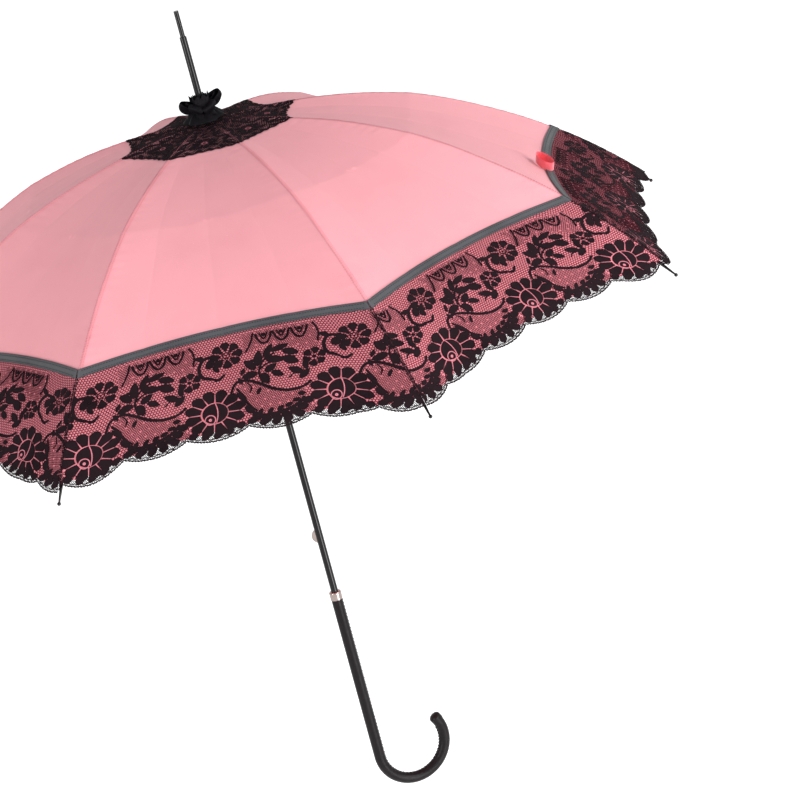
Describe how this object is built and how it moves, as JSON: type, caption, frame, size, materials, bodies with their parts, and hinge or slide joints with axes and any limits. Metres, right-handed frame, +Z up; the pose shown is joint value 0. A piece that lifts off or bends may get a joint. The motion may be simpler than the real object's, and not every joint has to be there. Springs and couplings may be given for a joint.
{
  "type": "parasol",
  "caption": "Stick parasol with a folding ribbed canopy, a lace border and top patch, a ruffled rosette, a runner on a tube shaft and a leather crook handle.",
  "frame": {"origin": "on the shaft's axis at the middle of the straight grip", "axes": "+Z up the shaft to the ferrule; the crook lies in the XZ plane and opens towards +X, under one rib"},
  "size_m": [0.9594, 0.9594, 0.9199],
  "materials": {
    "shaft": "gloss black",
    "notch": "satin black",
    "wire": "bright wire",
    "rib": "satin black",
    "stretcher": "satin black",
    "tip": "gloss black",
    "fabric": "plain woven pink",
    "lace": "black lace",
    "ribbon": "grosgrain",
    "strap": "satin ribbon",
    "rosette": "ruffled lace",
    "nickel": "nickel plate",
    "leather": "black leather",
    "core": "moulded",
    "cap": "black leather"
  },
  "bodies": {
    "root": {"shaft": "shaft", "crown_notch": "notch", "crown_wire": "wire", "crown_pin": "wire", "crown_cap": "notch", "ferrule": "shaft", "ferrule_nose": "shaft", "rosette": "rosette", "collar": "nickel", "handle_core": "core", "handle_leather": "leather", "handle_cap": "cap", "canopy_panel_1": "fabric", "canopy_panel_2": "fabric", "canopy_panel_3": "fabric", "canopy_panel_4": "fabric", "canopy_panel_5": "fabric", "canopy_panel_6": "fabric", "canopy_panel_7": "fabric", "canopy_panel_8": "fabric", "top_patch": "lace", "ribbon_trim": "ribbon", "lace_border": "lace", "tie_strap": "strap"},
    "runner": {"runner": "notch", "runner_wire": "wire"},
    "catch_upper": {"catch_upper": "nickel"},
    "catch_lower": {"catch_lower": "nickel"},
    "rib_inner_1": {"rib_inner_1": "rib"},
    "rib_outer_1": {"rib_outer_1": "rib", "rib_tip_1": "tip"},
    "stretcher_1": {"stretcher_1": "stretcher"},
    "rib_inner_2": {"rib_inner_2": "rib"},
    "rib_outer_2": {"rib_outer_2": "rib", "rib_tip_2": "tip"},
    "stretcher_2": {"stretcher_2": "stretcher"},
    "rib_inner_3": {"rib_inner_3": "rib"},
    "rib_outer_3": {"rib_outer_3": "rib", "rib_tip_3": "tip"},
    "stretcher_3": {"stretcher_3": "stretcher"},
    "rib_inner_4": {"rib_inner_4": "rib"},
    "rib_outer_4": {"rib_outer_4": "rib", "rib_tip_4": "tip"},
    "stretcher_4": {"stretcher_4": "stretcher"},
    "rib_inner_5": {"rib_inner_5": "rib"},
    "rib_outer_5": {"rib_outer_5": "rib", "rib_tip_5": "tip"},
    "stretcher_5": {"stretcher_5": "stretcher"},
    "rib_inner_6": {"rib_inner_6": "rib"},
    "rib_outer_6": {"rib_outer_6": "rib", "rib_tip_6": "tip"},
    "stretcher_6": {"stretcher_6": "stretcher"},
    "rib_inner_7": {"rib_inner_7": "rib"},
    "rib_outer_7": {"rib_outer_7": "rib", "rib_tip_7": "tip"},
    "stretcher_7": {"stretcher_7": "stretcher"},
    "rib_inner_8": {"rib_inner_8": "rib"},
    "rib_outer_8": {"rib_outer_8": "rib", "rib_tip_8": "tip"},
    "stretcher_8": {"stretcher_8": "stretcher"}
  },
  "joints": [
    {"name": "frame_fold", "type": "hinge", "parent": "root", "child": "rib_inner_1", "pos_m": [0.009, 0, 0.648], "axis": [0, 1, 0], "range_deg": [0, 76], "deforming": ["canopy_panel_1", "canopy_panel_2", "canopy_panel_3", "canopy_panel_4", "canopy_panel_5", "canopy_panel_6", "canopy_panel_7", "canopy_panel_8", "top_patch", "ribbon_trim", "lace_border", "tie_strap", "catch_upper", "catch_lower"]},
    {"name": "rib_flex_1", "type": "hinge", "parent": "rib_inner_1", "child": "rib_outer_1", "pos_m": [0.22736, 0, 0.60635], "axis": [0, 1, 0], "range_deg": [-22.6, 0]},
    {"name": "stretcher_fold_1", "type": "hinge", "parent": "rib_inner_1", "child": "stretcher_1", "pos_m": [0.22736, 0, 0.60635], "axis": [0, 1, 0], "range_deg": [-152, 0]},
    {"name": "rib_fold_2", "type": "hinge", "parent": "root", "child": "rib_inner_2", "pos_m": [0.00636, 0.00636, 0.648], "axis": [-0.7071, 0.7071, 0], "range_deg": [0, 76]},
    {"name": "rib_flex_2", "type": "hinge", "parent": "rib_inner_2", "child": "rib_outer_2", "pos_m": [0.16077, 0.16077, 0.60635], "axis": [-0.7071, 0.7071, 0], "range_deg": [-22.6, 0]},
    {"name": "stretcher_fold_2", "type": "hinge", "parent": "rib_inner_2", "child": "stretcher_2", "pos_m": [0.16077, 0.16077, 0.60635], "axis": [-0.7071, 0.7071, 0], "range_deg": [-152, 0]},
    {"name": "rib_fold_3", "type": "hinge", "parent": "root", "child": "rib_inner_3", "pos_m": [0, 0.009, 0.648], "axis": [-1, 0, 0], "range_deg": [0, 76]},
    {"name": "rib_flex_3", "type": "hinge", "parent": "rib_inner_3", "child": "rib_outer_3", "pos_m": [0, 0.22736, 0.60635], "axis": [-1, 0, 0], "range_deg": [-22.6, 0]},
    {"name": "stretcher_fold_3", "type": "hinge", "parent": "rib_inner_3", "child": "stretcher_3", "pos_m": [0, 0.22736, 0.60635], "axis": [-1, 0, 0], "range_deg": [-152, 0]},
    {"name": "rib_fold_4", "type": "hinge", "parent": "root", "child": "rib_inner_4", "pos_m": [-0.00636, 0.00636, 0.648], "axis": [-0.7071, -0.7071, 0], "range_deg": [0, 76]},
    {"name": "rib_flex_4", "type": "hinge", "parent": "rib_inner_4", "child": "rib_outer_4", "pos_m": [-0.16077, 0.16077, 0.60635], "axis": [-0.7071, -0.7071, 0], "range_deg": [-22.6, 0]},
    {"name": "stretcher_fold_4", "type": "hinge", "parent": "rib_inner_4", "child": "stretcher_4", "pos_m": [-0.16077, 0.16077, 0.60635], "axis": [-0.7071, -0.7071, 0], "range_deg": [-152, 0]},
    {"name": "rib_fold_5", "type": "hinge", "parent": "root", "child": "rib_inner_5", "pos_m": [-0.009, 0, 0.648], "axis": [0, -1, 0], "range_deg": [0, 76]},
    {"name": "rib_flex_5", "type": "hinge", "parent": "rib_inner_5", "child": "rib_outer_5", "pos_m": [-0.22736, 0, 0.60635], "axis": [0, -1, 0], "range_deg": [-22.6, 0]},
    {"name": "stretcher_fold_5", "type": "hinge", "parent": "rib_inner_5", "child": "stretcher_5", "pos_m": [-0.22736, 0, 0.60635], "axis": [0, -1, 0], "range_deg": [-152, 0]},
    {"name": "rib_fold_6", "type": "hinge", "parent": "root", "child": "rib_inner_6", "pos_m": [-0.00636, -0.00636, 0.648], "axis": [0.7071, -0.7071, 0], "range_deg": [0, 76]},
    {"name": "rib_flex_6", "type": "hinge", "parent": "rib_inner_6", "child": "rib_outer_6", "pos_m": [-0.16077, -0.16077, 0.60635], "axis": [0.7071, -0.7071, 0], "range_deg": [-22.6, 0]},
    {"name": "stretcher_fold_6", "type": "hinge", "parent": "rib_inner_6", "child": "stretcher_6", "pos_m": [-0.16077, -0.16077, 0.60635], "axis": [0.7071, -0.7071, 0], "range_deg": [-152, 0]},
    {"name": "rib_fold_7", "type": "hinge", "parent": "root", "child": "rib_inner_7", "pos_m": [0, -0.009, 0.648], "axis": [1, 0, 0], "range_deg": [0, 76]},
    {"name": "rib_flex_7", "type": "hinge", "parent": "rib_inner_7", "child": "rib_outer_7", "pos_m": [0, -0.22736, 0.60635], "axis": [1, 0, 0], "range_deg": [-22.6, 0]},
    {"name": "stretcher_fold_7", "type": "hinge", "parent": "rib_inner_7", "child": "stretcher_7", "pos_m": [0, -0.22736, 0.60635], "axis": [1, 0, 0], "range_deg": [-152, 0]},
    {"name": "rib_fold_8", "type": "hinge", "parent": "root", "child": "rib_inner_8", "pos_m": [0.00636, -0.00636, 0.648], "axis": [0.7071, 0.7071, 0], "range_deg": [0, 76]},
    {"name": "rib_flex_8", "type": "hinge", "parent": "rib_inner_8", "child": "rib_outer_8", "pos_m": [0.16077, -0.16077, 0.60635], "axis": [0.7071, 0.7071, 0], "range_deg": [-22.6, 0]},
    {"name": "stretcher_fold_8", "type": "hinge", "parent": "rib_inner_8", "child": "stretcher_8", "pos_m": [0.16077, -0.16077, 0.60635], "axis": [0.7071, 0.7071, 0], "range_deg": [-152, 0]},
    {"name": "runner_slide", "type": "hinge", "parent": "stretcher_1", "child": "runner", "pos_m": [0.009, 0, 0.56469], "axis": [0, 1, 0], "range_deg": [0, 76]},
    {"name": "catch_press_upper", "type": "slide", "parent": "root", "child": "catch_upper", "axis": [0.9239, -0.3827, 0], "range_m": [0, 0.0044], "stiffness_N_per_m": 300, "springref_m": -0.003},
    {"name": "catch_press_lower", "type": "slide", "parent": "root", "child": "catch_lower", "axis": [0.9239, -0.3827, 0], "range_m": [0, 0.0044], "stiffness_N_per_m": 300, "springref_m": -0.003}
  ],
  "couplings": [
    {"joint": "rib_flex_1", "follows": "frame_fold", "ratio": -0.297},
    {"joint": "stretcher_fold_1", "follows": "frame_fold", "ratio": -2},
    {"joint": "rib_fold_2", "follows": "frame_fold", "ratio": 1},
    {"joint": "rib_flex_2", "follows": "frame_fold", "ratio": -0.297},
    {"joint": "stretcher_fold_2", "follows": "frame_fold", "ratio": -2},
    {"joint": "rib_fold_3", "follows": "frame_fold", "ratio": 1},
    {"joint": "rib_flex_3", "follows": "frame_fold", "ratio": -0.297},
    {"joint": "stretcher_fold_3", "follows": "frame_fold", "ratio": -2},
    {"joint": "rib_fold_4", "follows": "frame_fold", "ratio": 1},
    {"joint": "rib_flex_4", "follows": "frame_fold", "ratio": -0.297},
    {"joint": "stretcher_fold_4", "follows": "frame_fold", "ratio": -2},
    {"joint": "rib_fold_5", "follows": "frame_fold", "ratio": 1},
    {"joint": "rib_flex_5", "follows": "frame_fold", "ratio": -0.297},
    {"joint": "stretcher_fold_5", "follows": "frame_fold", "ratio": -2},
    {"joint": "rib_fold_6", "follows": "frame_fold", "ratio": 1},
    {"joint": "rib_flex_6", "follows": "frame_fold", "ratio": -0.297},
    {"joint": "stretcher_fold_6", "follows": "frame_fold", "ratio": -2},
    {"joint": "rib_fold_7", "follows": "frame_fold", "ratio": 1},
    {"joint": "rib_flex_7", "follows": "frame_fold", "ratio": -0.297},
    {"joint": "stretcher_fold_7", "follows": "frame_fold", "ratio": -2},
    {"joint": "rib_fold_8", "follows": "frame_fold", "ratio": 1},
    {"joint": "rib_flex_8", "follows": "frame_fold", "ratio": -0.297},
    {"joint": "stretcher_fold_8", "follows": "frame_fold", "ratio": -2},
    {"joint": "runner_slide", "follows": "frame_fold", "ratio": 1}
  ]
}
